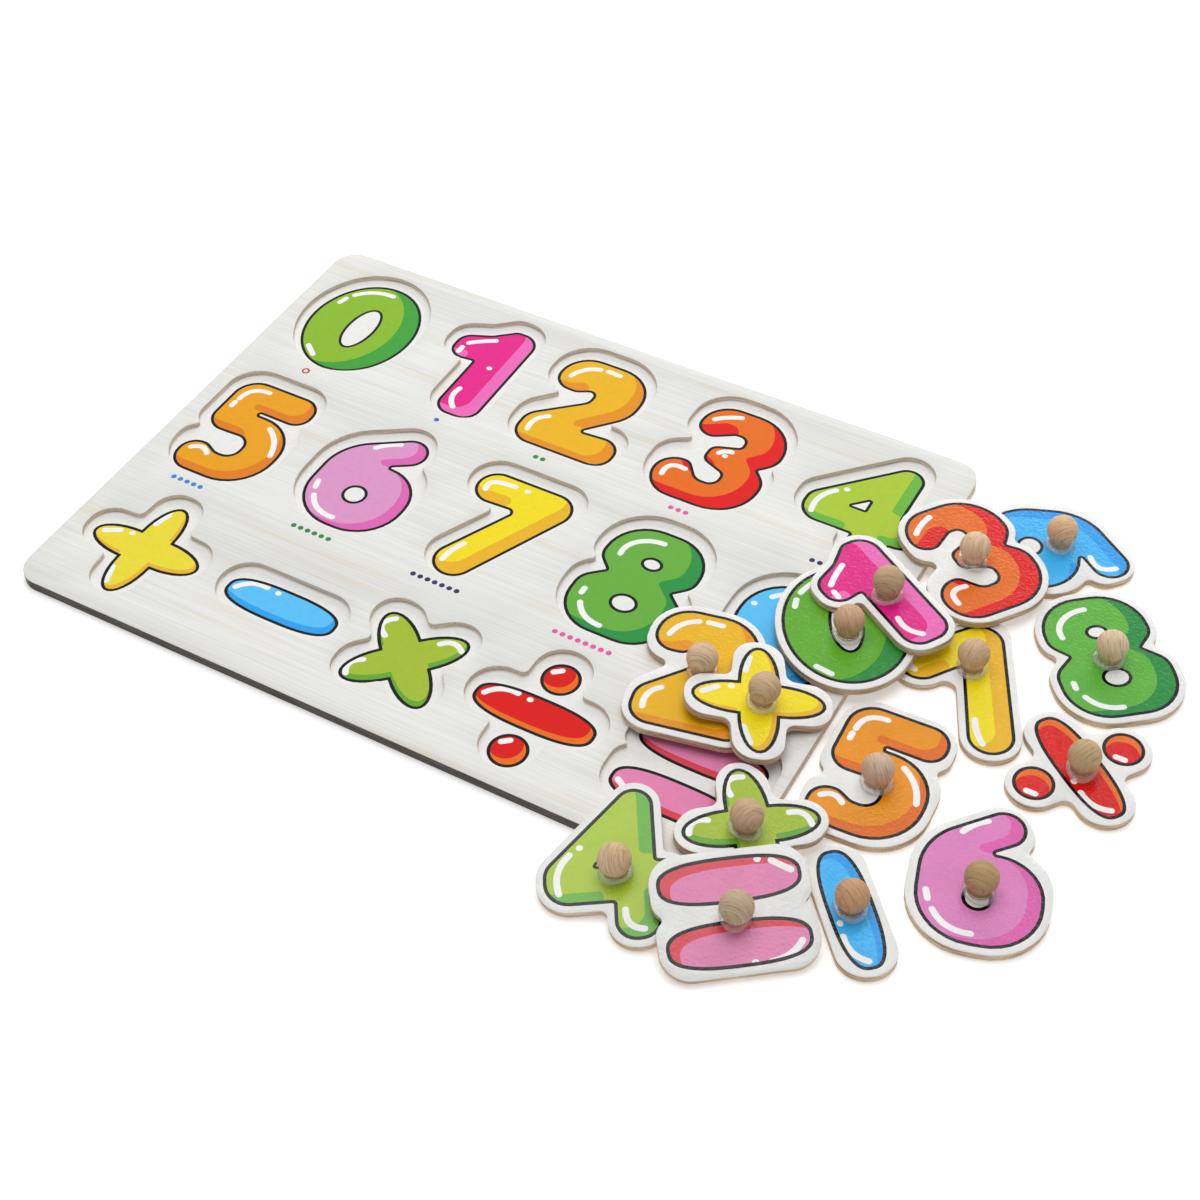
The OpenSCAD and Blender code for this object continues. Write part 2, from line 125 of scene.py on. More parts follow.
# Art of the fifteen figures in mm: outer edge of the black line, eyes, how far the lit tone is
# moved off the shaded one, both tones, white highlights, and the middle of the recess
ART = {
    "zero": dict(
        line=[("oval", 0, 0.2, 24, 29, 2)], eyes=[("oval", 0, -0.1, 6.6, 13.7, 2)],
        shift=(-8, 1), lit=(140, 188, 46), shade=(64, 162, 58), recess=(-116, 73.5),
        shine=[[(-15, 17.5), (-9, 22.5), (0.5, 24.5)], [(-18, 10.5), (-17, 14)],
               [(-13.5, -19.5), (-8.5, -23.5)]]),
    "one": dict(
        line=[("corners", (9.6, 29.4, 8.5), (9.6, -28.9, 7.5), (-9.9, -28.9, 7.5),
               (-9.9, 4.3, 0.8), (-22.9, 2.6, 6.8), (-22.9, 17.2, 7), (-11, 22.3, 8),
               (-2.5, 29.4, 5))],
        shift=(-5.5, 3.5), lit=(232, 35, 140), shade=(240, 110, 188), recess=(-53, 73.5),
        shine=[[(-17.5, 13.5), (-13, 17), (-8, 20)], [(-18.5, 7), (-18.5, 10)], [(-1.3, 3.5)],
               [(-5.5, -13), (-5.5, -19), (-2, -24)]]),
    "two": dict(
        line=[("corners", (-21.3, 29.4, 13), (18.9, 29.4, 17), (18.9, 3.5, 16),
               (4.6, -12.2, 0.5), (23.6, -10.6, 8), (23.6, -28.5, 8), (-20.9, -28.5, 9),
               (-20.9, -12.5, 9), (-1.4, 4.6, 5), (-1.6, 11.3, 2), (-9, 7.3, 5),
               (-21.3, 7.3, 8.5))],
        shift=(-5, 3), lit=(240, 185, 30), shade=(232, 148, 30), recess=(-6, 73.5),
        shine=[[(-16, 15.5), (-13, 21), (-7, 24.5)], [(-3.5, 25), (2, 24.8)],
               [(-11.5, -10.5), (-15, -14), (-15.5, -21)]]),
    "three": dict(
        line=[("corners", (-16.2, 29.4, 12.5), (23.1, 29.4, 18.5), (23.1, 6.5, 10),
               (17.4, 0.4, 0.4), (23, -5.5, 10), (23, -28.9, 18), (-20.6, -28.9, 12.5),
               (-20.6, -6.7, 9.5), (-8.6, -6.7, 5), (-2.4, -14.7, 5), (5.5, -14.7, 3.8),
               (5.5, -8, 2.6), (-5.6, -3.6, 4.5), (-5.6, 5, 4.5), (5.6, 9.2, 1.6),
               (5.6, 14.6, 3), (0.6, 14.6, 2), (-7.5, 9.5, 6), (-16.2, 9.5, 6.9))],
        shift=(-6, 4), lit=(235, 112, 28), shade=(228, 22, 22), recess=(54, 73.5),
        shine=[[(-11.5, 19.5), (-7, 23), (-2, 25.3)], [(-1, 2.5), (1, 4.5), (3.5, 5.2)],
               [(2, 2)], [(-15.5, -18.5), (-14.5, -13), (-8.5, -12)]]),
    "four": dict(
        line=[("corners", (5.4, 31.6, 6.8), (12.9, 25.5, 7), (12.9, 1.5, 0.6), (20.5, 0.5, 4.2),
               (20.5, -13.8, 4.2), (13.6, -14.2, 0.6), (13.9, -28.5, 7.5), (-2.3, -28.5, 7.5),
               (-2.3, -14.3, 0.6), (-25.8, -14.3, 9), (-25.8, 0, 8))],
        eyes=[("corners", (-1, 8.5, 1.5), (-1, -1, 1.2), (-10.5, -1, 1.2))],
        shift=(-4.5, 3.5), lit=(175, 205, 60), shade=(110, 185, 70), recess=(119.5, 73.5),
        shine=[[(-13, 7.5)], [(-16.5, 5), (-20.5, -1), (-20.5, -9.5)],
               [(1.5, -17), (3, -22.5), (7.5, -24.5)]]),
    "five": dict(
        line=[("corners", (-20.5, 28.9, 10.5), (17.7, 28.9, 8.5), (17.7, 12, 7.2),
               (-2.8, 12.2, 0.3), (-2.6, 11.3, 0.3), (19.2, 11.3, 18), (19.2, -28.9, 19.5),
               (-20.4, -28.9, 9), (-20.4, -11.7, 7.5), (-11, -11.7, 6), (-5.5, -14.6, 6),
               (2.3, -14.6, 5), (2.3, -2.7, 5), (-8, -3.2, 6), (-20.5, -3.6, 8.5))],
        shift=(-3.5, 3.5), lit=(238, 165, 30), shade=(228, 130, 35), recess=(-119, -3.5),
        shine=[[(-16, 16), (-14, 22), (-7, 24.5)], [(-16.3, 11), (-16.3, 13.5)],
               [(6, 6.5), (12, 1), (15.3, -6.5)], [(-16, -17), (-12, -15), (-8, -17)]]),
    "six": dict(
        line=[("corners", *SIX)], eyes=[("oval", -1.5, -8.9, 5.2, 5.2, 2)],
        shift=(-4.5, 1.5), lit=(225, 154, 203), shade=(225, 106, 184), recess=(-60, -3.5),
        shine=[[(-9, 17.5), (-5, 21.5), (-1, 23.7)], [(-18.5, -9), (-17.5, -12.5)],
               [(-15.5, -16.5), (-10, -22), (-2, -23.5)]]),
    "seven": dict(
        line=[("corners", (-22.8, 29, 8.7), (24.6, 29, 9.2), (-3.9, -32.1, 8.6),
               (-19.7, -24.5, 8.6), (-1.5, 12.4, 1.6), (-22.8, 11.2, 8.5))],
        shift=(-4, 5), lit=(248, 226, 30), shade=(238, 185, 40), recess=(0, -3.5),
        shine=[[(-18, 18), (-17.5, 22.5), (-14, 24), (-8, 24.5)], [(-2.5, 24.5)],
               [(-9.5, -11.5), (-11.5, -16), (-12.5, -22.5)]]),
    "eight": dict(
        line=[("corners", (-19.3, 30.3, 17), (21, 30.3, 17), (21, 8.5, 8), (14.9, 2.4, 0.4),
               (22.8, -4.5, 9), (22.8, -28.5, 16.5), (-21, -28.5, 16.5), (-21, -4.5, 9),
               (-13.2, 2.4, 0.4), (-19.3, 8.5, 8))],
        eyes=[("oval", 0.9, 12.5, 4.4, 3.6, 2), ("oval", 0.9, -10, 5.6, 4.8, 2)],
        shift=(-6, 3), lit=(106, 177, 64), shade=(42, 148, 68), recess=(58, -3.5),
        shine=[[(-12.5, 12), (-11, 19), (-6, 23), (0, 24.3)], [(-15.5, -10), (-15.5, -12.5)],
               [(-13.5, -17), (-9, -22), (-1.5, -24)]]),
    "nine": dict(
        line=[("corners", *[(-x, -y, r) for x, y, r in SIX])],
        eyes=[("oval", 1.5, 8.9, 5.2, 5.2, 2)],
        shift=(-4, 3), lit=(94, 198, 255), shade=(48, 166, 244), recess=(118, -3.5),
        shine=[[(-2, -14), (-7.5, -17.5), (-7, -23.5)], [(-12, 19), (-6, 23.5), (2, 24)],
               [(-16.5, 13)]]),
    "plus": dict(
        line=[("arms", 7.75, 7.9, 16.6, 0)],
        shift=(-1.5, 1.5), lit=(241, 225, 62), shade=(238, 186, 55), recess=(-115, -75.4),
        shine=[[(-3.5, 19.4), (-5, 12.9)], [(-20.5, 0.9), (-15, 3.9)], [(-10, 4.7)],
               [(-5.5, -13.1), (-3, -20.1)]]),
    "minus": dict(
        line=[("oval", 0, 0, 24.35, 8.2, 2.7)],
        shift=(-2, 2.5), lit=(94, 198, 255), shade=(48, 166, 244), recess=(-52, -75.4),
        shine=BAR_SHINE),
    "times": dict(
        line=[("arms", 7.9, 8.1, 16.3, -45)],
        shift=(-1, 2.2), lit=(168, 194, 56), shade=(104, 172, 56), recess=(2.7, -75.4),
        shine=[[(-13.7, 15.4), (-16.7, 10.9), (-12.7, 6.4)],
               [(7.3, 12.4), (11.3, 14.9), (16.3, 12.9)],
               [(-13.2, -7.1), (-16.7, -11.1), (-15.2, -15.6)]]),
    "divide": dict(
        line=[("oval", -0.2, 0, 24.35, 8.2, 2.7), ("oval", 0.2, 18.4, 7.5, 7.5, 2),
              ("oval", 0.2, -18.4, 7.5, 7.5, 2)],
        shift=(-2, 2), lit=(224, 24, 20), shade=(238, 115, 30), recess=(57.2, -75.4),
        shine=BAR_SHINE + [[(-4, 20.4), (-1.5, 22.4)], [(-4, -16.1), (-1.5, -14.1)]]),
    "equals": dict(
        line=[("oval", 0, 11, 24.35, 8.2, 2.7), ("oval", 0, -11, 24.35, 8.2, 2.7)],
        shift=(-3, 2.5), lit=(234, 138, 184), shade=(226, 72, 84), recess=(118, -74.5),
        shine=[[(-20.5, 12.5), (-16, 16.5), (-9.5, 18.3)], [(-4, 18)],
               [(-21, -12), (-15, -16)], [(-10.5, -17)]])}
PAPER = linear(240, 240, 238)


def art_layers(name, size, middle, **tones):
    """Print of one figure as layers of (outline, ink, role), painted in this order."""
    art = ART[name] | tones
    line_w = 1.25 / size  # the black line has one width on the board and on the plates
    black, glint = linear(10, 9, 10), linear(250, 250, 250)
    inner = [shape_outline(s, line_w) for s in art["line"]]
    eyes = art.get("eyes", [])
    layers = [(shape_outline(s), black, "") for s in art["line"]]
    layers += [(p, linear(*art["shade"]), "body") for p in inner]
    layers += [(p + np.array(art["shift"]), linear(*art["lit"]), "over") for p in inner]
    layers += [(stroke_outline(s), glint, "over") for s in art["shine"]]
    layers += [(shape_outline(s), black, "") for s in eyes]
    layers += [(shape_outline(s, line_w), PAPER, "") for s in eyes]
    return [(size * p + np.array(middle), ink, role) for p, ink, role in layers]


def rim_loops(points, triangles):
    """Rims of a patch, in order: a directed side without its reverse lies on a rim, and
    pointer doubling gives each point its loop's lowest index and its steps to that."""
    sides = np.concatenate([triangles[:, [0, 1]], triangles[:, [1, 2]], triangles[:, [2, 0]]])
    code = sides @ [len(points), 1]
    rim = sides[~np.isin(code, sides @ [1, len(points)])]
    own = np.arange(len(points))
    step = own.copy()
    step[rim[:, 0]] = rim[:, 1]
    rounds = range(int(np.log2(len(points))) + 2)
    low, hop = own.copy(), step.copy()
    for _ in rounds:
        low, hop = np.minimum(low, low[hop]), hop[hop]
    hop = np.where(low == own, own, step)
    far = (hop != own).astype(int)
    for _ in rounds:
        far, hop = far + far[hop], hop[hop]
    on = np.unique(rim)
    on = on[np.lexsort((-far[on], low[on]))]
    return [points[k] for k in np.split(on, np.flatnonzero(np.diff(low[on])) + 1)]


def cad_points(node):
    """Merged points of a CAD node in metres, and its triangles."""
    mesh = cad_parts[node].data
    co = np.empty(len(mesh.vertices) * 3, np.float32)
    mesh.vertices.foreach_get("co", co)
    index = np.empty(len(mesh.loops), np.int32)
    mesh.loops.foreach_get("vertex_index", index)
    points, merged = np.unique(np.round(co.reshape(-1, 3).astype(float), 7), axis=0,
                               return_inverse=True)
    return points, merged.ravel()[index].reshape(-1, 3)


def top_rims(node, axes, level=0.01):
    """Rims of the flat top of a CAD node in mm, in the given axes, widest first. The points of
    the top lie within level of the highest one."""
    points, triangles = cad_points(node)
    local = 1000 * (np.c_[points, np.ones(len(points))] @ np.array(axes.inverted()).T)[:, :3]
    high = local[:, 2] > local[:, 2].max() - level
    loops = rim_loops(local[:, :2], triangles[high[triangles].all(1)])
    return sorted(loops, key=lambda loop: -np.ptp(loop[:, 0]))


def rim_normals(rim, least=0.4):
    """Mitred normals away from the material: (n1 + n2) / (1 + n1.n2), with a divisor that
    stays above the least one on sharp corners."""
    d = np.roll(rim, -1, 0) - rim
    n = np.stack([d[:, 1], -d[:, 0]], 1) / np.linalg.norm(d, axis=1, keepdims=True)
    before = np.roll(n, 1, 0)
    return (n + before) / np.maximum(1 + (n * before).sum(1), least)[:, None]


def cap_part(rims, z, layers=(), ink=PAPER, up=True, skin=0):
    """Flat cap inside its rims, cut along the print's layers and inked by them."""
    loops = list(rims) + [layer[0] for layer in layers]
    area = [(p[:, 0] * np.roll(p[:, 1], -1) - np.roll(p[:, 0], -1) * p[:, 1]).sum() for p in loops]
    loops = [p if a > 0 else p[::-1] for p, a in zip(loops, area)]
    ends = np.cumsum([len(p) for p in loops])
    rows = [list(range(e - len(p), e)) for e, p in zip(ends, loops)]
    corners = list(map(Vector, np.concatenate(loops).tolist()))
    only_inside, near = 1, 1e-5
    made = delaunay_2d_cdt(corners, [], rows, only_inside, near, True)
    points, faces, owners = np.array([v[:] for v in made[0]]), np.array(made[2]), made[5]
    inside = np.zeros((len(faces), len(loops)), bool)
    inside[np.repeat(np.arange(len(faces)), list(map(len, owners))),
           np.fromiter(chain.from_iterable(owners), int)] = True
    inks, body = np.tile(ink, (len(faces), 1)), np.zeros(len(faces), bool)
    for (_, colour, role), here in zip(layers, inside.T[len(rims):]):
        body |= here & (role == "body")
        inks[here & (body | (role != "over"))] = colour
    keep = inside[:, 0] & ~inside[:, 1:len(rims)].any(1)
    faces = faces[keep] if up else faces[keep][:, ::-1]
    return np.c_[points, np.full(len(points), z)], faces, points[faces], inks[keep], \
        np.full(len(faces), skin)


def wall_part(rim, profile, skins, ink=PAPER):
    """Wall swept along a rim: profile rows of (inset, height), from the bottom up."""
    inset, height = np.array(profile, float).T
    n, k = len(rim), len(profile)
    plan = rim - inset[:, None, None] * rim_normals(rim)
    points = np.concatenate([plan, np.broadcast_to(height[:, None, None], (k, n, 1))], 2)
    i, j = (a.ravel() for a in np.mgrid[:k - 1, :n])
    after = (j + 1) % n
    faces = np.stack([i * n + j, i * n + after, (i + 1) * n + after, (i + 1) * n + j], 1)
    length = np.linalg.norm(np.roll(rim, -1, 0) - rim, axis=1)
    run = np.r_[0, np.cumsum(length)]
    uv = np.stack([np.stack([run[j], run[j + 1], run[j + 1], run[j]], 1),
                   height[np.stack([i, i, i + 1, i + 1], 1)]], -1)
    return points.reshape(-1, 3), faces, uv, np.tile(ink, (len(faces), 1)), np.array(skins)[i]


def make_piece(name, parts, axes, materials, body, slot, *nodes, crease=24):
    """One closed mesh out of parts in mm: points, faces, UV, ink and material index."""
    starts = np.cumsum([0] + [len(p[0]) for p in parts])
    mesh = bpy.data.meshes.new(name)
    mesh.from_pydata(np.concatenate([p[0] for p in parts]) / 1000, [],
                     list(chain.from_iterable((p[1] + s).tolist() for p, s in zip(parts, starts))))
    mesh.uv_layers.new(name="run").data.foreach_set(
        "uv", np.concatenate([p[2].ravel() for p in parts]) / 1000)
    mesh.color_attributes.new("ink", "FLOAT_COLOR", "CORNER").data.foreach_set(
        "color", np.concatenate([np.repeat(p[3], p[1].shape[1], 0).ravel() for p in parts]))
    mesh.polygons.foreach_set(
        "material_index", np.concatenate([p[4] for p in parts]).astype(np.int32))
    grid = bmesh.new()
    grid.from_mesh(mesh)
    bmesh.ops.remove_doubles(grid, verts=grid.verts, dist=2e-7)
    grid.to_mesh(mesh)
    grid.free()
    mesh.shade_smooth()
    mesh.set_sharp_from_angle(angle=radians(crease))
    mesh.transform(axes)
    for made in materials:
        mesh.materials.append(made)
    piece = bpy.data.objects.new(name, mesh)
    bpy.context.scene.collection.objects.link(piece)
    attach(piece, body)
    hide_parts(*nodes)
    return piece


def material(name, **sockets):
    """New material with one principled shader; sockets by name with _ for a space."""
    made = bpy.data.materials.new(name)
    made.use_nodes = True
    shader = made.node_tree.nodes["Principled BSDF"]
    for key, value in sockets.items():
        shader.inputs[key.replace("_", " ")].default_value = value
    return made, made.node_tree, shader


def wire(tree, kind, sockets, **settings):
    """New node: settings are set, and sockets are set or linked by name or number."""
    node = tree.nodes.new(kind)
    for key, value in settings.items():
        setattr(node, key, value)
    for key, value in sockets.items():
        if isinstance(value, bpy.types.NodeSocket):
            tree.links.new(value, node.inputs[key])
        else:
            node.inputs[key].default_value = value
    return node


def stretched_noise(tree, source, scale, detail=4, roughness=0.55):
    """Noise drawn out along an axis by an uneven scale of its coordinates."""
    spread = wire(tree, "ShaderNodeMapping", {"Vector": source, "Scale": scale})
    return wire(tree, "ShaderNodeTexNoise", {
        "Vector": spread.outputs[0], "Scale": 1.0, "Detail": detail,
        "Roughness": roughness}).outputs["Fac"]


def ramp(tree, fac, *stops):
    """Colour ramp through (place, colour) stops."""
    node = wire(tree, "ShaderNodeValToRGB", {"Fac": fac})
    band = node.color_ramp.elements
    for k, (place, colour) in enumerate(stops):
        stop = band[k] if k < 2 else band.new(place)
        stop.position, stop.color = place, colour
    return node.outputs["Color"]


def mixed(tree, a, b, fac, blend="MIX"):
    """Colour mix of a and b."""
    node = wire(tree, "ShaderNodeMix", {0: fac, 6: a, 7: b}, data_type="RGBA", blend_type=blend)
    return node.outputs[2]


def sawn_edge(name, dark, pale, burnt, lit_side_dark=None, lit_side_pale=None):
    """Sawn plywood edge: plies by height, streaks along the run and dark specks of fibre.
    The lit-side colours, where given, are painted light: paler colours that show on the edges that
    face along X."""
    made, tree, shader = material(name, Roughness=0.75, Specular_IOR_Level=0.25)
    run = wire(tree, "ShaderNodeUVMap", {}, uv_map="run").outputs[0]
    ply = stretched_noise(tree, run, (60, 1500, 1), 3)
    speck = stretched_noise(tree, run, (900, 2600, 1), 2)
    wood = ramp(tree, ply, (0.35, dark), (0.65, pale))
    pits = ramp(tree, speck, (0.60, (0, 0, 0, 1)), (0.72, (1, 1, 1, 1)))
    # Painted light: edges that face along X get the paler lit-side colours instead of the dark and
    # pale ones
    if lit_side_dark:
        facing = wire(tree, "ShaderNodeNewGeometry", {}).outputs["Normal"]
        across = wire(tree, "ShaderNodeSeparateXYZ", {0: facing}).outputs["X"]
        lit_side_share = wire(tree, "ShaderNodeMath", {0: across, 1: across},
                     operation="MULTIPLY").outputs[0]
        wood = mixed(tree, wood, ramp(tree, ply, (0.35, lit_side_dark), (0.65, lit_side_pale)), lit_side_share)
    colour = mixed(tree, wood, burnt, pits)
    tree.links.new(colour, shader.inputs["Base Color"])
    bump = wire(tree, "ShaderNodeBump", {"Height": ply, "Strength": 0.5, "Distance": 0.0003})
    tree.links.new(bump.outputs[0], shader.inputs["Normal"])
    return made


back_t = 1000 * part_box("board_back")[1].z
back_rims = top_rims("board_back", Matrix.Identity(4))
paper, tree, shader = material("recess_floor", Roughness=0.5, Specular_IOR_Level=0.12)
ink = wire(tree, "ShaderNodeAttribute", {}, attribute_name="ink")
spot = wire(tree, "ShaderNodeTexCoord", {}).outputs["Object"]
mottle = stretched_noise(tree, spot, (420, 420, 420), 3)
tree.links.new(mixed(tree, ink.outputs["Color"], ramp(
    tree, mottle, (0.3, linear(236, 235, 233)), (0.7, linear(255, 255, 255))), 0.35, "MULTIPLY"),
    shader.inputs["Base Color"])
peel = wire(tree, "ShaderNodeBump", {"Height": mottle, "Strength": 0.12, "Distance": 0.0004})
tree.links.new(peel.outputs[0], shader.inputs["Normal"])
# Board edges: the dark and pale colours are painted shade on the edges that face along Y, where the
# front edge lies in shadow; the lit-side colours are painted light on the edges that face along X
painted_light_board_edge = sawn_edge("sawn_board_edge_painted_light", linear(66, 61, 57), linear(98, 91, 85),
                       linear(48, 42, 38), lit_side_dark=linear(196, 178, 156),
                       lit_side_pale=linear(226, 214, 196))
print_drop = (0, 1.5)  # how far a print lies below the middle of its recess
prints = list(chain.from_iterable(
    art_layers(name, 1.0, np.array(art["recess"]) - print_drop) for name, art in ART.items()))
make_piece(
    "backing_sheet",
    [cap_part(back_rims, back_t, prints), cap_part(back_rims, 0, up=False, skin=1),
     wall_part(back_rims[0], [(0, 0), (0, back_t / 2), (0, back_t)], [1, 1])],
    Matrix.Identity(4), [paper, painted_light_board_edge], "board", "board_backing", "board_back")

# ---------------------------------------------------------------- top sheet
# Pale plywood sheet, sawn through along the fifteen recesses and glued on the backing. White
# washed, so the close grain still shows, with counting dots printed under the figures.
sheet_rims = top_rims("board_frame", Matrix.Identity(4))
board_lo, board_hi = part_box("board_frame")
sheet_lo, sheet_top = 1000 * board_lo.z, 1000 * board_hi.z
arris, round_at = 0.25, 0.3  # width of the rounded arris, and where its middle lies in it
# Dots of each figure: how far they lie aside of its recess's middle, and their colour
DOTS = {"one": (-2, (40, 110, 190)), "two": (-1, (40, 130, 60)), "three": (1, (225, 90, 160)),
        "four": (-3, (35, 40, 90)), "five": (-3, (60, 130, 210)), "six": (-3, (40, 130, 60)),
        "seven": (-7, (35, 40, 90)), "eight": (-2, (225, 90, 160)), "nine": (-3, (40, 110, 190))}
bare = (0.0, 0.0, 0.0, 0.0)
dots_below, dot_pitch, dot_r = 37.5, 3.2, 1.1
ring_aside, ring_r, hole_r = -3, 1.7, 0.9
zero_x, zero_y = ART["zero"]["recess"]
dots = [(oval_outline(zero_x + ring_aside, zero_y - dots_below, r, r, 2, 0), tone, "")
        for r, tone in ((ring_r, linear(200, 40, 50)), (hole_r, bare))]
for count, (name, (aside, colour)) in enumerate(DOTS.items(), 1):
    x, y = ART[name]["recess"]
    row = x + aside + dot_pitch * (np.arange(count) - (count - 1) / 2)
    dots += [(oval_outline(at, y - dots_below, dot_r, dot_r, 2, 0), linear(*colour), "")
             for at in row]

washed, tree, shader = material("white_washed_ply", Roughness=0.55, Specular_IOR_Level=0.24)
spot = wire(tree, "ShaderNodeTexCoord", {}).outputs["Object"]
grain = stretched_noise(tree, spot, (16, 1300, 1), 2)
streak = stretched_noise(tree, spot, (9, 120, 1), 2)
pale = ramp(tree, grain, (0.3, linear(223, 223, 219)), (0.7, linear(236, 236, 232)))
warm = ramp(tree, streak, (0.56, linear(255, 255, 255)), (0.74, linear(250, 244, 234)))
wood = mixed(tree, pale, warm, 1.0, "MULTIPLY")
ink = wire(tree, "ShaderNodeAttribute", {}, attribute_name="ink")
tree.links.new(mixed(tree, wood, ink.outputs["Color"], ink.outputs["Alpha"]),
               shader.inputs["Base Color"])
pores = wire(tree, "ShaderNodeBump", {"Height": grain, "Strength": 0.15, "Distance": 0.0002})
tree.links.new(pores.outputs[0], shader.inputs["Normal"])

recess_wall = sawn_edge("sawn_recess_wall", linear(196, 180, 160), linear(236, 225, 209),
                        linear(132, 112, 94))
ply_t = 0.8
profile = [(0, sheet_lo), (0, sheet_lo + ply_t), (0, sheet_lo + 2 * ply_t),
           (0, sheet_top - arris), (round_at * arris, sheet_top - round_at * arris),
           (arris, sheet_top)]
parts = [cap_part([r - arris * rim_normals(r) for r in sheet_rims], sheet_top, dots, bare),
         cap_part(sheet_rims, sheet_lo, up=False, skin=1)]
parts += [wall_part(r, profile, [k, k, k, 0, 0], bare)
          for r, k in zip(sheet_rims, [1] + len(ART) * [2])]
make_piece("top_sheet", parts, Matrix.Identity(4), [washed, painted_light_board_edge, recess_wall],
           "board", "board_sheet", "board_frame")

# ---------------------------------------------------------------- plates
# Fifteen loose plates of thin plywood, sawn along the figures with a bare white border, and
# covered by a printed glossy film that follows the uneven veneer like orange peel.
ON_PILE = {  # place from the board's front right corner in mm, turn in degrees, knob on the plate
    "zero": ((-12.2, 121.6), 32, (0, -4)), "one": ((-4.2, 141.7), 58.4, (-2, -1)),
    "two": ((-48.2, 75.9), 11.5, (0.5, 1)), "three": ((13.5, 174), 53.8, (1, -1.5)),
    "four": ((-33.9, -9.2), 31.2, (-1, -2)), "five": ((25.8, 67.8), 2.6, (-0.5, -3.5)),
    "six": ((72.3, 45.1), 16, (-1, -5.5)), "seven": ((41.4, 120.3), 51.2, (1.5, 10.5)),
    "eight": ((74.4, 155.3), 38.8, (1, -1)), "nine": ((39, 197.1), 111.8, (4, -2.5)),
    "plus": ((-23.7, 72.1), 26, (0.8, -0.6)), "minus": ((39.2, 13.1), 131.6, (0, 0)),
    "times": ((-2.5, 24.4), -6.3, (-1.2, -2.1)), "divide": ((83.5, 103.5), 142.5, (-1.2, -0.2)),
    "equals": ((7.7, -8.6), -143, (0, 1))}

# Inks that came out deeper on the plates than on the board
DEEPER = {"zero": dict(lit=(98, 176, 42), shade=(32, 142, 52)),
          "two": dict(lit=(240, 186, 22), shade=(236, 150, 28)),
          "five": dict(lit=(238, 150, 22), shade=(228, 112, 28)),
          "six": dict(lit=(225, 133, 194), shade=(225, 98, 176)),
          "eight": dict(lit=(96, 181, 60), shade=(32, 142, 62)),
          "nine": dict(lit=(66, 187, 253), shade=(40, 160, 242)),
          "plus": dict(lit=(250, 228, 30), shade=(240, 185, 45)),
          "minus": dict(lit=(66, 187, 253), shade=(40, 160, 242))}


def plate_axes(name):
    """Axes of a plate: up is the normal of its largest triangle, its turn is known, and its
    underside passes through the middle of its place in the pile."""
    (dx, dy), turn, _ = ON_PILE[name]
    points, triangles = cad_points(name + "_plate")
    a, b, c = points[triangles].transpose(1, 0, 2)
    cross = np.cross(b - a, c - a)
    up = Vector(cross[np.linalg.norm(cross, axis=1).argmax()]).normalized()
    up = up if up.z > 0 else -up
    spin = Vector((0, 0, 1)).rotation_difference(up) @ Quaternion((0, 0, 1), radians(turn))
    x, y = board_hi.x + dx / 1000, board_lo.y + dy / 1000
    low = ((points - (x, y, 0)) @ np.array(up)).min()
    return Matrix.LocRotScale(Vector((x, y, low / up.z)), spin, None)


film, tree, shader = material("printed_film", Roughness=0.16, Specular_IOR_Level=0.08,
                              Coat_Weight=0.38, Coat_Roughness=0.05)
ink = wire(tree, "ShaderNodeAttribute", {}, attribute_name="ink")
spot = wire(tree, "ShaderNodeTexCoord", {}).outputs["Object"]
peel = stretched_noise(tree, spot, (850, 850, 850), 2, 0.5)
fleck = stretched_noise(tree, spot, (90, 90, 90), 3)
tree.links.new(mixed(tree, ink.outputs["Color"], ramp(
    tree, fleck, (0.35, linear(240, 240, 240)), (0.65, linear(255, 255, 255))), 0.5, "MULTIPLY"),
    shader.inputs["Base Color"])
bump = wire(tree, "ShaderNodeBump", {"Height": peel, "Strength": 0.42, "Distance": 0.0005})
tree.links.new(bump.outputs[0], shader.inputs["Normal"])
tree.links.new(bump.outputs[0], shader.inputs["Coat Normal"])
plate_edge = sawn_edge("sawn_plate_edge", linear(172, 140, 104), linear(232, 216, 190),
                       linear(112, 80, 52))

figure_share = 0.975  # size of the figure on a plate next to the one on the board
film_arris, back_arris = 0.3, 0.2
knob_seats = {}
for name in ART:
    axes = plate_axes(name)
    rim = top_rims(name + "_plate", axes)[0]
    points, _ = cad_points(name + "_plate")
    thick = 1000 * np.ptp((points - axes.translation) @ np.array(axes.to_3x3().col[2]))
    profile = [(back_arris, 0), (0, back_arris), (0, thick / 2), (0, thick - film_arris),
               (round_at * film_arris, thick - round_at * film_arris), (film_arris, thick)]
    printed = art_layers(name, figure_share, (0, 0), **DEEPER.get(name, {}))
    make_piece(
        name + "_board",
        [cap_part([rim - film_arris * rim_normals(rim)], thick, printed),
         cap_part([rim - back_arris * rim_normals(rim)], 0, up=False, skin=1),
         wall_part(rim, profile, [1, 1, 1, 0, 0])],
        axes, [film, plate_edge], name, name + "_print", name + "_plate")
    knob_x, knob_y = ON_PILE[name][2]
    knob_seats[name] = axes @ Matrix.Translation((knob_x / 1000, knob_y / 1000, thick / 1000))

# ---------------------------------------------------------------- knobs
# Turned beech knobs, one glued into each plate: a ball head on a waisted neck with a wider
# foot. Raw sanded wood with growth lines and short dark flecks.
knob_lo, knob_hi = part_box("zero_knob")
plate_top = 1000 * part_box("zero_plate")[1].z
head_r = 500 * (knob_hi.x - knob_lo.x)
knob_h = 1000 * knob_hi.z - plate_top

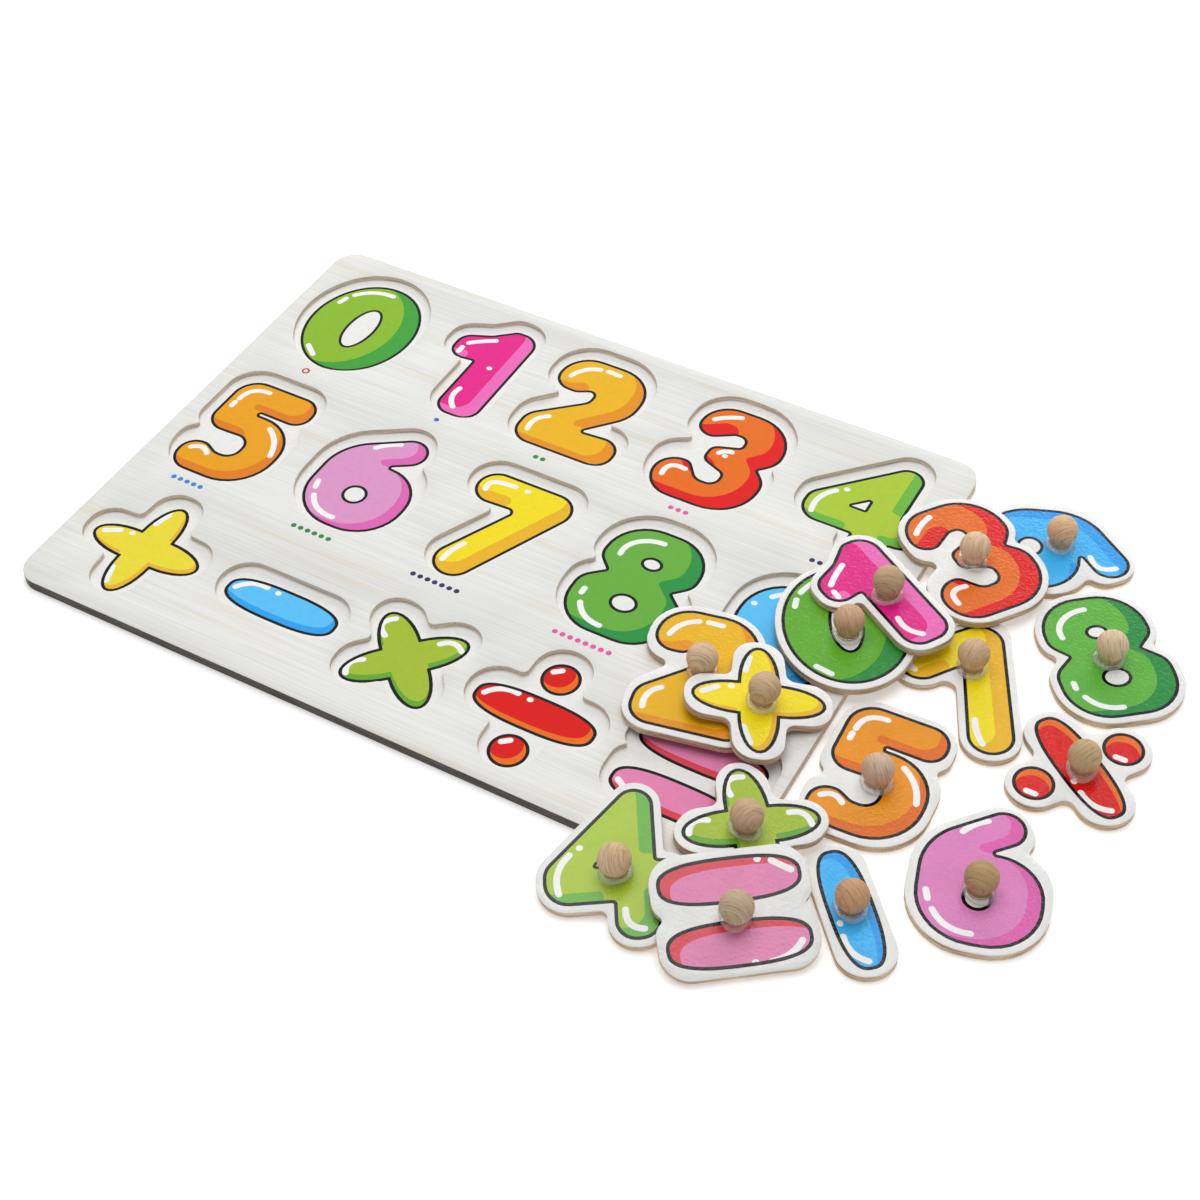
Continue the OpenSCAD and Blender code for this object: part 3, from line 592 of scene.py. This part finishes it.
# Tone of the wood of each knob
WOOD = {"zero": (218, 178, 143), "one": (202, 174, 136), "two": (228, 198, 164),
        "three": (238, 207, 173), "four": (222, 190, 153), "five": (220, 191, 165),
        "six": (190, 158, 114), "seven": (218, 184, 146), "eight": (234, 210, 174),
        "nine": (234, 195, 152), "plus": (216, 183, 146), "minus": (208, 164, 124),
        "times": (212, 178, 146), "divide": (204, 178, 134), "equals": (202, 181, 150)}


def lathe_part(profile, tone, around=48):
    """Profile of (r, z) turned round the axis, with a pole at both ends; UV is turn, height."""
    r, z = np.array(profile, float).T
    t = np.linspace(0, 2 * pi, around, endpoint=False)
    k = len(r)
    points = np.stack([r[:, None] * np.cos(t), r[:, None] * np.sin(t),
                       np.broadcast_to(z[:, None], (k, around))], -1).reshape(-1, 3)
    i, j = (a.ravel() for a in np.mgrid[:k - 1, :around])
    after = (j + 1) % around
    faces = np.stack([i * around + j, i * around + after, (i + 1) * around + after,
                      (i + 1) * around + j], 1)
    uv = np.stack([np.stack([j, j + 1, j + 1, j], 1) * 1000 / around,
                   z[np.stack([i, i, i + 1, i + 1], 1)]], -1)
    return points, faces, uv, np.tile(tone, (len(faces), 1)), np.zeros(len(faces), int)


beech, tree, shader = material("turned_beech", Roughness=0.6, Specular_IOR_Level=0.3)
along = wire(tree, "ShaderNodeAttribute", {}, attribute_name="grain").outputs["Vector"]
growth = stretched_noise(tree, along, (3000, 150, 150), 3)
fleck = stretched_noise(tree, along, (2600, 420, 420), 2)
lines = ramp(tree, growth, (0.34, linear(212, 203, 194)), (0.48, linear(240, 238, 235)),
             (0.66, linear(255, 255, 255)))
own_tone = wire(tree, "ShaderNodeAttribute", {}, attribute_name="ink").outputs["Color"]
wood = mixed(tree, own_tone, lines, 1.0, "MULTIPLY")
pits = ramp(tree, fleck, (0.62, (0, 0, 0, 1)), (0.78, (1, 1, 1, 1)))
tree.links.new(mixed(tree, wood, linear(152, 112, 80), pits), shader.inputs["Base Color"])
bump = wire(tree, "ShaderNodeBump", {"Height": growth, "Strength": 0.25, "Distance": 0.0002})
tree.links.new(bump.outputs[0], shader.inputs["Normal"])

# The ball goes on from the neck where it is wider than the neck's upper end
turn = np.linspace(0, pi, 40)
ball = np.stack([head_r * np.sin(turn), knob_h - head_r - head_r * np.cos(turn)], 1)
neck = [(4.2, 0), (4.0, 0.3), (3.6, 0.9), (3.35, 1.5), (3.3, 2.0), (3.4, 2.5)]
ball_from_r = 3.6
shown = (ball[:, 0] > ball_from_r) | (ball[:, 1] > knob_h - head_r)
knob_profile = np.r_[[(0, 0)], neck, ball[shown]]
grain_turn, grain_lean, grain_step = 2.4, 0.3, 0.05  # radians, radians and metres
for number, (name, seat) in enumerate(knob_seats.items()):
    grip = make_piece(name + "_grip", [lathe_part(knob_profile, linear(*WOOD[name]))], seat,
                      [beech], name, "knob_wood", name + "_knob", crease=50)
    # Each knob is cut from another place of the wood, with its lines turned another way
    co = np.empty(len(grip.data.vertices) * 3)
    grip.data.vertices.foreach_get("co", co)
    cut_at = Matrix.Rotation(grain_turn * number, 4, "Z") \
        @ Matrix.Rotation(grain_lean, 4, "Y") @ seat.inverted()
    own = np.c_[co.reshape(-1, 3), np.ones(len(co) // 3)] @ np.array(cut_at).T
    grip.data.attributes.new("grain", "FLOAT_VECTOR", "POINT").data.foreach_set(
        "vector", (own[:, :3] + grain_step * number).ravel())

# ---------------------------------------------------------------- glue
# Clear glue that has run out round the foot of each knob and set as a glossy uneven ring. It
# lies on the film and hides the joint of plate and knob.
glue, tree, shader = material("set_glue", Base_Color=linear(255, 254, 250), Roughness=0.08,
                              IOR=1.5, Transmission_Weight=0.78)
spot = wire(tree, "ShaderNodeTexCoord", {}).outputs["Object"]
ripple = stretched_noise(tree, spot, (260, 260, 260), 2)
bump = wire(tree, "ShaderNodeBump", {"Height": ripple, "Strength": 0.3, "Distance": 0.0006})
tree.links.new(bump.outputs[0], shader.inputs["Normal"])


def glue_part(seed, foot_r=4.0, reach=5.9, height=1.25, around=64, across=8):
    """Ring from the foot out to reach (1 + 0.05 sin(2t + a) + 0.04 sin(3t + b)), rising by
    height (1 - s^3)^0.6 over the share s of the way out. Its base lies under the film's face,
    so that no air shows below it."""
    rim_z, base_z = -0.1, -0.3
    t = np.linspace(0, 2 * pi, around, endpoint=False)
    outer = reach * (1 + 0.05 * np.sin(2 * t + seed) + 0.04 * np.sin(3 * t + 2.3 * seed))
    s = np.r_[np.linspace(1, 0, across), 0][:, None]
    r = foot_r + (outer - foot_r) * s
    on_top = np.arange(across + 1)[:, None] < across
    z = np.where(on_top, rim_z + height * (1 - s ** 3) ** 0.6, base_z)
    points = np.stack([r * np.cos(t), r * np.sin(t), np.broadcast_to(z, r.shape)], -1)
    i, j = (a.ravel() for a in np.mgrid[:across + 1, :around])
    after, up = (j + 1) % around, (i + 1) % (across + 1)
    faces = np.stack([i * around + j, i * around + after, up * around + after, up * around + j], 1)
    return points.reshape(-1, 3), faces, points.reshape(-1, 3)[faces][..., :2], \
        np.tile(PAPER, (len(faces), 1)), np.zeros(len(faces), int)


ripple_turn = 1.7
for number, (name, seat) in enumerate(knob_seats.items()):
    make_piece(name + "_glue_ring", [glue_part(ripple_turn * number)], seat, [glue],
               name, "glue", name + "_glue", crease=60)

# ---------------------------------------------------------------- floor, light and camera
# A white floor that fades into a white surround, a large soft lamp overhead, a low one behind
# and the camera at the photograph's place.


def background_rays(tree):
    """1 for the rays that show the background: the camera's, reflected and transmitted ones."""
    path = wire(tree, "ShaderNodeLightPath", {}).outputs
    seen = path["Is Camera Ray"]
    for kind in ("Is Glossy Ray", "Is Transmission Ray"):
        either = wire(tree, "ShaderNodeMath", {0: seen, 1: path[kind]}, operation="MAXIMUM")
        seen = either.outputs[0]
    return seen


half, low = 4, -2e-4
floor_mesh = bpy.data.meshes.new("floor")
floor_mesh.from_pydata([(-half, -half, low), (half, -half, low), (half, half, low),
                        (-half, half, low)], [], [(0, 1, 2, 3)])
floor = bpy.data.objects.new("floor", floor_mesh)
bpy.context.scene.collection.objects.link(floor)
white, tree, shader = material("white_floor", Base_Color=(0.93, 0.93, 0.93, 1), Roughness=1.0,
                               Specular_IOR_Level=0.0, Emission_Color=(1, 1, 1, 1))
# Far from the object, where the lamps fall off, the floor is seen as white as the surround
spot = wire(tree, "ShaderNodeTexCoord", {}).outputs["Object"]
away = wire(tree, "ShaderNodeVectorMath", {0: spot}, operation="LENGTH").outputs["Value"]
rise = wire(tree, "ShaderNodeMapRange", {"Value": away, "From Min": 0.5, "From Max": 1.6,
                                         "To Min": 0.0, "To Max": 0.7}).outputs[0]
near_glow = 0.32
glow = wire(tree, "ShaderNodeMath", {0: rise, 1: background_rays(tree), 2: near_glow},
            operation="MULTIPLY_ADD")
tree.links.new(glow.outputs[0], shader.inputs["Emission Strength"])
floor_mesh.materials.append(white)

world = bpy.data.worlds.new("surround")
bpy.context.scene.world = world
world.use_nodes = True
sky = world.node_tree
room = sky.nodes["Background"]
room.inputs["Color"].default_value = (1, 1, 1, 1)
room.inputs["Strength"].default_value = 0.36
clean = wire(sky, "ShaderNodeBackground", {"Color": (1, 1, 1, 1), "Strength": 1.0})
both = wire(sky, "ShaderNodeMixShader", {0: background_rays(sky), 1: room.outputs[0],
                                         2: clean.outputs[0]})
sky.links.new(both.outputs[0], sky.nodes["World Output"].inputs["Surface"])

lit_point = Vector((0.05, 0, 0))
for name, place, width, height, power in (
        ("soft_box", (-0.1, 0.2, 1.6), 1.4, 1.2, 15),
        ("low_strip", (-0.3, 1.5, 0.85), 2.0, 0.6, 11)):
    lamp = bpy.data.lights.new(name, "AREA")
    lamp.shape, lamp.size, lamp.size_y, lamp.energy = "RECTANGLE", width, height, power
    box = bpy.data.objects.new(name, lamp)
    box.location = place
    box.rotation_euler = (lit_point - box.location).to_track_quat("-Z", "Y").to_euler()
    bpy.context.scene.collection.objects.link(box)

look_at, roll = Vector((0.0496, -0.01607, 0)), radians(-1.41)
camera = bpy.data.objects.new("camera", bpy.data.cameras.new("camera"))
camera.data.lens, camera.data.sensor_width = 61.2, 36
camera.location = (0.3110, -0.4642, 0.5540)
aim = (look_at - camera.location).to_track_quat("-Z", "Y")
camera.rotation_euler = (aim @ Quaternion((0, 0, 1), roll)).to_euler()
bpy.context.scene.collection.objects.link(camera)
bpy.context.scene.camera = camera
bpy.context.scene.view_settings.view_transform = "Standard"
